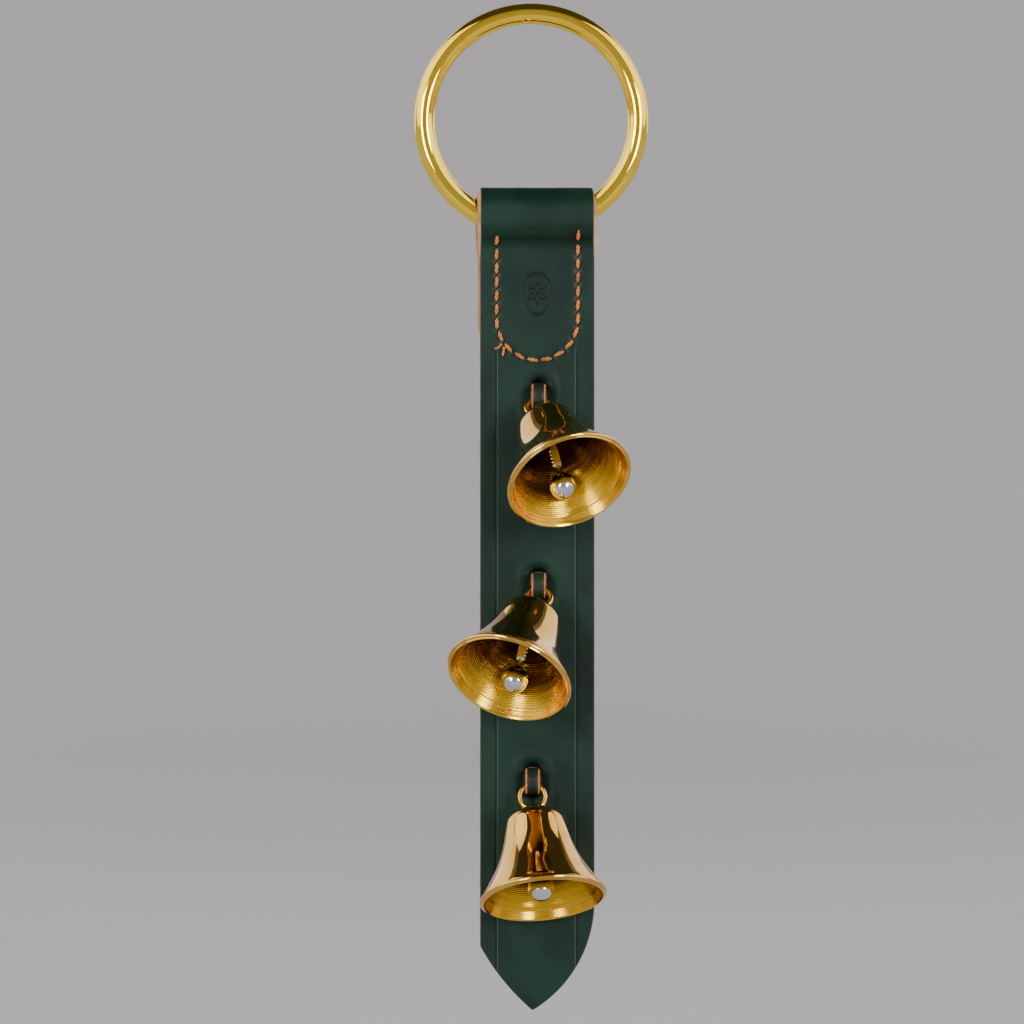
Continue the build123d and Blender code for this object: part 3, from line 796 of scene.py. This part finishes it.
def build_strap():
    centre, normal, inset, hole, slot_push, slot_offset, fold_row = strap_mesh()
    rows, wide = inset.shape
    relief, painted_shade, rub = strap_relief(centre, normal, inset, hole, slot_offset)
    kept = (hole[:-1, :-1] + hole[1:, :-1] + hole[:-1, 1:] + hole[1:, 1:]) > 0
    framed = np.zeros((rows + 1, wide + 1), bool)
    framed[1:-1, 1:-1] = kept
    corners = (framed[:-1, :-1], framed[1:, :-1], framed[:-1, 1:], framed[1:, 1:])
    used = corners[0] | corners[1] | corners[2] | corners[3]
    whole = corners[0] & corners[1] & corners[2] & corners[3]
    rim = used & ~whole & (np.abs(hole) < 1.2)
    centre[rim, 0] -= (hole * slot_push[..., 0])[rim]
    centre[rim, 2] -= (hole * slot_push[..., 1])[rim]
    front = centre + normal * (LEATHER / 2 + relief)[..., None]
    back = centre - normal * (LEATHER / 2 - 0.15 * bell_curve(inset, 0.25))[..., None]
    # The back ply is pinched almost shut behind each slot, so the slot's walls, which carry full
    # painted shade, fill it: painted shade where the slot would show through.
    for slot_x, slot_top, *_ in BELLS:
        near = rim & (np.abs(centre[..., 2] - slot_top + SLOT_HEIGHT / 2) < SLOT_HEIGHT)
        back[near, 0] = slot_x + SLOT_CLOSES * (centre[near, 0] - slot_x)
    flare = np.clip((centre[..., 2] - s_bend_end_z + 4) / 9, 0, 1)
    off_middle = (centre[..., 0] - STRAP_X) / (STRAP_WIDTH / 2) * flare
    front[..., 0] -= FOLD_NARROWS * off_middle
    back[..., 0] += FOLD_SPREADS * off_middle
    folded = centre[..., 2] > s_bend_end_z
    back[folded] = ring_room(back[folded])

    number = -np.ones((rows, wide), int)
    number[used] = np.arange(used.sum())
    count = int(used.sum())
    points = [Vector(point) for point in front[used]] + [Vector(point) for point in back[used]]
    values = {"painted_shade": list(painted_shade[used]) + [0.0] * count, "rub": list(rub[used]) + [0.0] * count}
    layers = 5
    wall = {}

    def wall_points(row, column):
        """The points down the cut edge, from the grain side to the flesh side."""
        key = (row, column)
        if key not in wall:
            top, bottom = Vector(front[key]), Vector(back[key])
            out = Vector((0, 0, 0))
            if not rim[key] and inset[key] < 0.01:
                middle = STRAP_X if centre[row, column, 2] > TIP_LEFT_Z else TIP_X
                out = Vector((1 if centre[row, column, 0] > middle else -1, 0, 0))
            wall[key] = [int(number[key])]
            for layer in range(1, layers):
                part = layer / layers
                rough = 0.05 * noise.noise(top * 0.9 + Vector((0, 7 * part, 0)))
                points.append(top.lerp(bottom, part) + out * (0.12 * math.sin(math.pi * part) + rough))
                # Slot walls get full painted shade, which darkens the inside of each slot.
                for name in values:
                    values[name].append(1.0 if rim[key] and name == "painted_shade" else 0.0)
                wall[key].append(len(points) - 1)
            wall[key].append(count + int(number[key]))
        return wall[key]

    faces, kinds = [], []
    for row, column in np.argwhere(kept):
        ring_of = [(row, column), (row, column + 1), (row + 1, column + 1), (row + 1, column)]
        quad = [int(number[key]) for key in ring_of]
        faces.append(tuple(quad))
        faces.append(tuple(count + corner for corner in reversed(quad)))
        kinds += [0, 1]
        neighbours = ((row - 1, column), (row, column + 1), (row + 1, column), (row, column - 1))
        for side, (beside_row, beside_column) in enumerate(neighbours):
            if framed[beside_row + 1, beside_column + 1]:
                continue
            start = wall_points(*ring_of[side])
            end = wall_points(*ring_of[(side + 1) % 4])
            for layer in range(layers):
                faces.append((end[layer], start[layer], start[layer + 1], end[layer + 1]))
                kinds.append(0 if rim[tuple(ring_of[side])] else 2)
    leathers = (strap_green, raw_flesh, raw_edge)
    assign(add_piece("strap_folded", points, faces, leathers, kinds, values, 42),
           "strap", "strap")


build_strap()


# ---- lace
def strip_section(width, thickness, cup):
    """A cupped strip's section and the kind of each side, 0 grain and 1 raw. Its width lies along
    the first axis, and the grain side, a little narrower than the flesh side, looks along the
    second."""
    half, deep, bevel = width / 2, thickness / 2, 0.42
    parts = (-1, -0.6, -0.2, 0.2, 0.6, 1)
    grain = [(part * (half - bevel), deep - cup * part * part) for part in parts]
    right_edge = [(half - 0.16, 0.35 * deep), (half, -0.25 * deep), (half - 0.05, -0.8 * deep)]
    flesh = [(part * (half - 0.3), -deep) for part in (1, 0.5, 0, -0.5, -1)]
    left_edge = [(-x, y) for x, y in reversed(right_edge)]
    section = grain + right_edge + flesh + left_edge
    return section, [0] * 5 + [1] * (len(section) - 5)


def lace_strip(shape, path, across):
    """One stretch of lace along a path, grain side out, with slightly wavy cut edges."""
    section, kinds = strip_section(LACE_WIDTH - 0.1, LACE - 0.1, 0.12)
    sides = flat_sides(path, across)
    points, faces = sweep(path, sides, section)
    wavy = []
    for point in points:
        stray = noise.noise(point * 0.9) * 0.12
        wavy.append(point + across * (stray if (point - path[0]).dot(across) > 0 else -stray))
    spans = len(path) - 1
    shape.add(wavy, faces, kinds * spans + [1, 1])


def lace_fibres(shape, path, across, amount):
    """Loose leather fibres along both cut edges, as thin tapered blades."""
    sides = flat_sides(path, across)
    for _ in range(amount):
        step = chance.randrange(1, len(path) - 1)
        side = chance.choice((-1, 1))
        (first, second), centre = sides[step], path[step]
        root = centre + first * (side * (LACE_WIDTH / 2 - 0.1)) + second * chance.uniform(-0.55, 0.55)
        along = (path[step + 1] - path[step - 1]).normalized()
        lean = first * (side * chance.uniform(0.5, 1.0)) + along * chance.uniform(-0.9, 0.9)
        lean += second * chance.uniform(-0.5, 0.5)
        tip = root + lean.normalized() * chance.uniform(0.25, 0.85)
        foot = along * 0.055
        shape.add([root - foot, root + foot, tip], [(0, 1, 2)], 1)


def lace_piece(shape, name, rub):
    """The lace's mesh with its two leathers; rub is how worn the grain side is."""
    count = len(shape.points)
    return shape.piece(name, lace_green, lace_raw, sharp=60,
                       values={"painted_shade": [0.0] * count, "rub": [rub] * count})


def rounded_route(corners, radii, step):
    """A route along straight runs with a round bend at each inner corner."""
    route = [corners[0]]

    def run_straight(end):
        first = route[-1]
        count = max(1, round((end - first).length / step))
        route.extend(first.lerp(end, part / count) for part in range(1, count + 1))

    for before, corner, after, radius in zip(corners, corners[1:], corners[2:], radii):
        heading_in = (corner - before).normalized()
        heading_out = (after - corner).normalized()
        angle = heading_in.angle(heading_out)
        back_off = radius * math.tan(angle / 2)
        inward = (heading_out - heading_in * heading_out.dot(heading_in)).normalized()
        start = corner - heading_in * back_off
        run_straight(start)
        count = max(4, round(radius * angle / step))
        for part in range(1, count + 1):
            turn = angle * part / count
            route.append(start + heading_in * (radius * math.sin(turn))
                         + inward * (radius * (1 - math.cos(turn))))
    run_straight(corners[-1])
    return route


SLOT_MIDDLE_Y = -1.6
for number, (slot_x, slot_top, *_) in enumerate(BELLS, start=1):
    upper_z, lower_z = slot_top - UPPER_DROP, slot_top - LOWER_DROP
    front_y = PIVOT_Y - LACE_BEND
    route = rounded_route(
        [Vector((slot_x, SLOT_MIDDLE_Y, upper_z)), Vector((slot_x, front_y, upper_z)),
         Vector((slot_x, front_y, lower_z)), Vector((slot_x, SLOT_MIDDLE_Y, lower_z))],
        (LACE_TOP_BEND, LACE_BEND), 0.3)
    loop = Shape()
    lace_strip(loop, route, across_x)
    lace_fibres(loop, route, across_x, 420)
    piece = lace_piece(loop, f"lace_front_{number}", 0.15)
    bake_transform(piece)
    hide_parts(f"lace_loop_{number}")

for number in (1, 2):
    (x_above, top_above, *_), (x_below, top_below, *_) = BELLS[number - 1], BELLS[number]
    top = Vector((x_above, 0, top_above - LOWER_DROP))
    bottom = Vector((x_below, 0, top_below - UPPER_DROP))
    run = Shape()
    route = rounded_route(
        [top + along_y * SLOT_MIDDLE_Y, top + along_y * RUN_Y,
         bottom + along_y * RUN_Y, bottom + along_y * SLOT_MIDDLE_Y], (1.2, 1.2), 0.45)
    sideways = along_y.cross((bottom - top).normalized()).normalized()
    lace_strip(run, route, sideways)
    lace_fibres(run, route, sideways, 420)
    assign(lace_piece(run, f"lace_behind_{number}", 0.2), "strap", f"lace_run_{number}")


KNOT_Y, KNOT_STEPS, KNOT_TAIL_STEPS = 2.35, 90, 9
KNOT_LACE_WIDTH, KNOT_LACE_THICKNESS, KNOT_LACE_CUP = 3.5, 1.6, 0.35


def knot_piece(name, node, x, strand_z, knot_z, tail_turn):
    """A stopper knot: the lace comes through its slot, is tied in an overhand knot and cut short."""
    shape = Shape()
    strand = [Vector((x, SLOT_MIDDLE_Y + 0.25 * step, strand_z)) for step in range(12)]
    lace_strip(shape, strand, across_x)
    middle = Vector((x, KNOT_Y, knot_z))
    path = []
    for step in range(KNOT_STEPS):
        turn = TAU * step / KNOT_STEPS
        path.append(middle + Vector((1.02 * (math.sin(turn) + 2 * math.sin(2 * turn)),
                                     -1.05 * math.sin(3 * turn),
                                     0.84 * (math.cos(turn) - 2 * math.cos(2 * turn)))))
    section, kinds = strip_section(KNOT_LACE_WIDTH, KNOT_LACE_THICKNESS, KNOT_LACE_CUP)

    def flat_behind(path, closed):
        return [(along_y.cross(heading).normalized(), along_y) for heading in tangents(path, closed)]

    points, faces = sweep(path, flat_behind(path, True), section, closed=True)
    shape.add(points, faces, kinds * KNOT_STEPS)
    root = middle + Vector((0.6, 0.9, -1.0))
    onward = Vector((0.42 * math.cos(tail_turn), -0.09, 0.42 * math.sin(tail_turn)))
    tail = [root + onward * step for step in range(KNOT_TAIL_STEPS + 1)]
    points, faces = sweep(tail, flat_behind(tail, False), section)
    shape.add(points, faces, kinds * KNOT_TAIL_STEPS + [1, 1])
    assign(lace_piece(shape, name, 0.25), "strap", node)


first_x, first_top = BELLS[0][:2]
last_x, last_top = BELLS[-1][:2]
knot_piece("lace_knot_upper", "lace_upper_end", first_x, first_top - UPPER_DROP, first_top - 3.4, -0.5)
last_strand = last_top - LOWER_DROP
knot_piece("lace_knot_lower", "lace_lower_end", last_x, last_strand, last_strand - 2.3, -2.4)


# ---- bells
def bell_profile():
    """The bell's closed section as (radius, height), with where each stretch begins."""
    outer = [(0.85, 0.0)]
    run_to(outer, (4.4, 0.0), 3)
    curve_to(outer, (9.9, -4.4), (1, 0), 16)
    run_to(outer, (11.2, -10.0), 4)
    curve_to(outer, (16.4, -23.0), heading_of(outer), 16)
    run_to(outer, (19.9, -29.0), 4)
    lip = [outer[-1]]
    for turn in range(1, 9):
        angle = math.radians(118 - 26 * turn)
        lip.append((20.02 + 0.78 * math.cos(angle), -30.2 + 0.82 * math.sin(angle)))
    lip.append((19.9, -31.28))
    rim = [lip[-1]]
    run_to(rim, (19.55, -31.3))
    run_to(rim, (19.3, -31.05))
    band = [rim[-1]]
    run_to(band, (18.12, -28.15), 6)
    run_to(band, (17.6, -27.8), 2)
    inner = [band[-1]]
    run_to(inner, (15.2, -23.7), 5)
    curve_to(inner, (9.84, -10.3), heading_of(inner), 16)
    run_to(inner, (8.54, -4.7), 4)
    curve_to(inner, (4.4, -1.4), heading_of(inner), 12)
    run_to(inner, (0.85, -1.4), 3)
    return outer, lip, rim, band, inner


def build_bell(number, slot_x, slot_top, tilt, turn):
    hang_point = Vector((slot_x, PIVOT_Y, slot_top - PIVOT_DROP))
    tilted = Matrix.Rotation(math.radians(-tilt), 3, "X")
    turned = tilted @ Matrix.Rotation(math.radians(-turn), 3, "Y")
    loop_centre = hang_point - tilted @ up_z * CROWN_LOOP
    right, back, up = turned @ across_x, turned @ along_y, turned @ up_z
    crown_top = loop_centre - up * CROWN_RISE

    profile, kinds = [], []
    for kind, stretch in enumerate(bell_profile()):
        profile += stretch if not profile else stretch[1:]
        kinds += [max(0, kind - 1)] * (len(stretch) - 1)
    kinds.append(3)
    steps = 192
    points, faces = lathe(profile, crown_top, right, back, up, steps)
    travelled = [0.0]
    for first, second in zip(profile, profile[1:]):
        travelled.append(travelled[-1] + math.dist(first, second))
    # The depth below the crown sets the painted shade inside the bell.
    values = {"run": travelled * steps, "depth": [-height for _, height in profile] * steps}
    bell = add_piece(f"bell_shell_{number}", points, faces,
                     (bell_brass, rim_brass, band_brass, inner_brass), kinds * steps, values, 38)
    assign(bell, f"bell_{number}", f"bell_{number}")

    wires = Shape()
    wires.add(*torus(loop_centre, right, up, CROWN_LOOP, CROWN_WIRE, 96, 20), 0)
    eye_centre = crown_top - up * EYE_DROP
    wires.add(*torus(eye_centre, right, up, EYE_RADIUS, EYE_WIRE, 64, 14), 0)
    foot = [(0.82, CROWN_RISE - CROWN_LOOP), (0.86, 0.35), (1.05, 0.14), (1.5, 0.03), (1.9, 0.0)]
    shank_low = -(EYE_DROP - EYE_RADIUS)
    shank = foot + [(1.8, -0.05), (0.8, -0.1), (0.8, shank_low), (0.05, shank_low), (0.05, 0.9)]
    wires.add(*lathe([(radius, height) for radius, height in shank], crown_top, right, back, up, 32), 0)
    loop = wires.piece(f"crown_wire_{number}", loop_brass, sharp=50)
    assign(loop, f"bell_{number}", f"crown_loop_{number}")
    return eye_centre - up * EYE_RADIUS, right, back, up


def build_clapper(number, pivot, right, back, up, clapper_back, bead_side):
    swing = math.radians(clapper_back)
    rise = up * math.cos(swing) - back * math.sin(swing)
    thick = right.cross(rise)
    link = Shape()
    link.add(*torus(pivot, rise, thick, LINK_RING, LINK_WIRE, 48, 14), 0)
    path, scale = [], []
    for step in range(25):
        drop = LINK_RING + 0.1 + (LINK_END - LINK_RING - 0.1) * step / 24
        path.append(pivot - rise * drop)
        scale.append(min(1.0, 0.55 + 0.9 * step / 24) * (1 - 0.25 * smooth_step(step, 21, 24)))
    half, deep, soft = LINK_WIDTH / 2, LINK_THICKNESS / 2, 0.18
    section = [(half - soft, deep), (half, deep - soft), (half, soft - deep), (half - soft, -deep),
               (soft - half, -deep), (-half, soft - deep), (-half, deep - soft), (soft - half, deep)]
    points, faces = sweep(path, [(right, thick)] * len(path), section, scale=scale)
    link.add(points, faces, 0)
    grooved = [(0.02, 0.5), (0.25, 0.44), (0.43, 0.26), (0.5, 0.0), (0.43, -0.26), (0.25, -0.44),
               (0.02, -0.5)]
    beaded_edge = right * (bead_side * LINK_WIDTH / 2 * 0.96)
    for bead in range(BEADS):
        centre = pivot + beaded_edge - rise * (LINK_END - FIRST_BEAD_RISE - BEAD_PITCH * bead)
        link.add(*lathe(grooved, centre, right, thick, rise, 14), 0)
    neck = [(NECK_RADIUS * 0.98, -LINK_END + 0.6), (NECK_RADIUS, -CLAPPER_LENGTH + BALL_RADIUS + 0.4),
            (NECK_RADIUS + 0.25, -CLAPPER_LENGTH + BALL_RADIUS + 0.02),
            (0.02, -CLAPPER_LENGTH + BALL_RADIUS - 0.2), (0.02, -LINK_END + 0.6)]
    link.add(*lathe(neck, pivot, right, thick, rise, 24), 0)
    piece = link.piece(f"clapper_wire_{number}", steel, sharp=35)
    assign(piece, f"clapper_{number}", f"clapper_link_{number}")

    turns = [math.pi * k / 48 for k in range(49)]
    ball = [(max(0.02, BALL_RADIUS * math.sin(turn)), BALL_RADIUS * math.cos(turn)) for turn in turns]
    centre = pivot - rise * CLAPPER_LENGTH
    points, faces = lathe(ball, centre, right, thick, rise, 96)
    piece = add_piece(f"clapper_chrome_{number}", points, faces, (chrome,))
    assign(piece, f"clapper_{number}", f"clapper_ball_{number}")


for number, (slot_x, slot_top, tilt, turn, clapper_back, bead_side) in enumerate(BELLS, start=1):
    pivot, right, back, up = build_bell(number, slot_x, slot_top, tilt, turn)
    build_clapper(number, pivot, right, back, up, clapper_back, bead_side)


# ---- stage, lights and camera
stage_grey = plain_stage("stage_pale", (196, 193, 194))
FLOOR_Z, FLOOR_RADIUS, COVE_RADIUS, WALL_TOP_Z = -340.0, 1700.0, 900, 2600.0
FLOOR_RINGS, COVE_RINGS, COVE_SIDES = 8, 12, 96
rings = [(FLOOR_RADIUS * k / FLOOR_RINGS, FLOOR_Z) for k in range(1, FLOOR_RINGS + 1)]
for k in range(1, COVE_RINGS + 1):
    turn = math.pi / 2 * k / COVE_RINGS
    rings.append((FLOOR_RADIUS + COVE_RADIUS * math.sin(turn),
                  FLOOR_Z + COVE_RADIUS * (1 - math.cos(turn))))
rings.append((FLOOR_RADIUS + COVE_RADIUS, WALL_TOP_Z))
cove = [Vector((0, 0, FLOOR_Z))]
for radius, height in rings:
    cove += [Vector((x, y, height)) for x, y in circle(radius, COVE_SIDES)]
faces = [(0, 1 + k, 1 + (k + 1) % COVE_SIDES) for k in range(COVE_SIDES)]
for ring in range(len(rings) - 1):
    here, there = 1 + ring * COVE_SIDES, 1 + (ring + 1) * COVE_SIDES
    for k in range(COVE_SIDES):
        after = (k + 1) % COVE_SIDES
        faces.append((here + k, there + k, there + after, here + after))
add_piece("stage_cove", cove, faces, (stage_grey,))
MIDDLE = Vector((0.0, 0.0, -0.13))


def soft_light(name, place, width, height, power, spread=180.0):
    """A rectangle of light, in metres and watts, that faces the middle of the object."""
    light = bpy.data.lights.new(name, "AREA")
    light.shape = "RECTANGLE"
    light.spread = math.radians(spread)
    light.size, light.size_y = width, height
    light.energy = power
    holder = bpy.data.objects.new(name, light)
    holder.location = place
    holder.rotation_euler = (MIDDLE - Vector(place)).to_track_quat("-Z", "Y").to_euler()
    holder.visible_camera = False
    bpy.context.collection.objects.link(holder)


for side, name, lamp_power in ((-1, "left", 3.6), (1, "right", 3.9)):
    soft_light(f"panel_{name}", (side * 1.95, -0.7, 0.95), 2.8, 2.6, 44)
    soft_light(f"panel_rear_{name}", (side * 1.7, 1.6, 0.5), 2.0, 2.2, 18)
    soft_light(f"lamp_{name}", (side * 0.85, -1.4, 0.12), 0.45, 0.6, lamp_power, 90.0)

world = bpy.data.worlds.new("world_dim")
world.use_nodes = True
world.node_tree.nodes["Background"].inputs["Color"].default_value = (1.0, 0.97, 0.94, 1.0)
world.node_tree.nodes["Background"].inputs["Strength"].default_value = 0.06
bpy.context.scene.world = world

camera = bpy.data.cameras.new("camera")
camera.lens, camera.sensor_width = 116.0, 36.0
camera.clip_end = 50.0
view = bpy.data.objects.new("camera", camera)
view.location = (-0.0064, -1.1, -0.1305)
view.rotation_euler = (math.pi / 2, 0, 0)
bpy.context.collection.objects.link(view)
bpy.context.scene.camera = view
